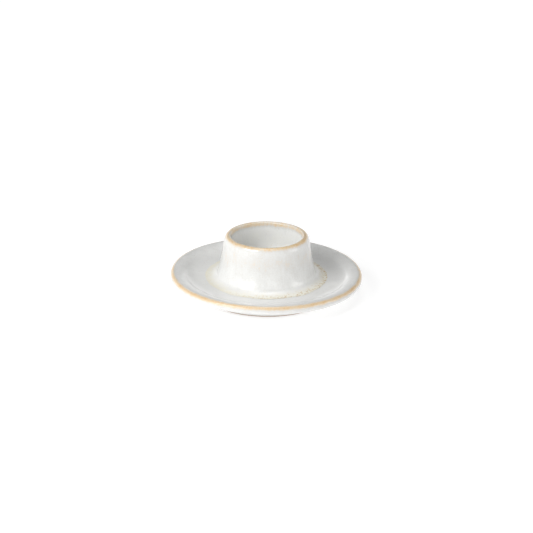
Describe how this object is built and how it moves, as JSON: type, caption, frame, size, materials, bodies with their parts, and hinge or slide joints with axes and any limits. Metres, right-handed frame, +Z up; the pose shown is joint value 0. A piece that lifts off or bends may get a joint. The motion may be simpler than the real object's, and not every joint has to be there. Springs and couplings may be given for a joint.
{
  "type": "egg cup on a saucer",
  "caption": "Low round cup with a tapering wall, fixed to the middle of a saucer, in glazed stoneware; holds an egg or a tealight.",
  "frame": {"origin": "centre of the foot ring, on the surface that the saucer stands on", "axes": "+Z up along the axis that every piece is turned about; X and Y lie along the surface and are alike"},
  "size_m": [0.12, 0.12, 0.038],
  "materials": {
    "saucer_clay": "bare fired stoneware, matt",
    "cup_clay": "bare fired stoneware, matt",
    "slip": "fired slip, matt",
    "saucer_glaze": "glossy warm off-white glaze that breaks to honey brown on the rim",
    "cup_glaze": "glossy warm off-white glaze that breaks to honey brown on both edges of the lip",
    "pooled_glaze": "thick glossy cream glaze with amber specks",
    "foot_recess_glaze": "glossy warm off-white glaze"
  },
  "bodies": {
    "root": {"saucer": "saucer_clay", "cup": "cup_clay", "luting_slip": "slip", "saucer_glaze": "saucer_glaze", "cup_glaze": "cup_glaze", "glaze_pool": "pooled_glaze", "foot_recess_glaze": "foot_recess_glaze"}
  },
  "joints": []
}
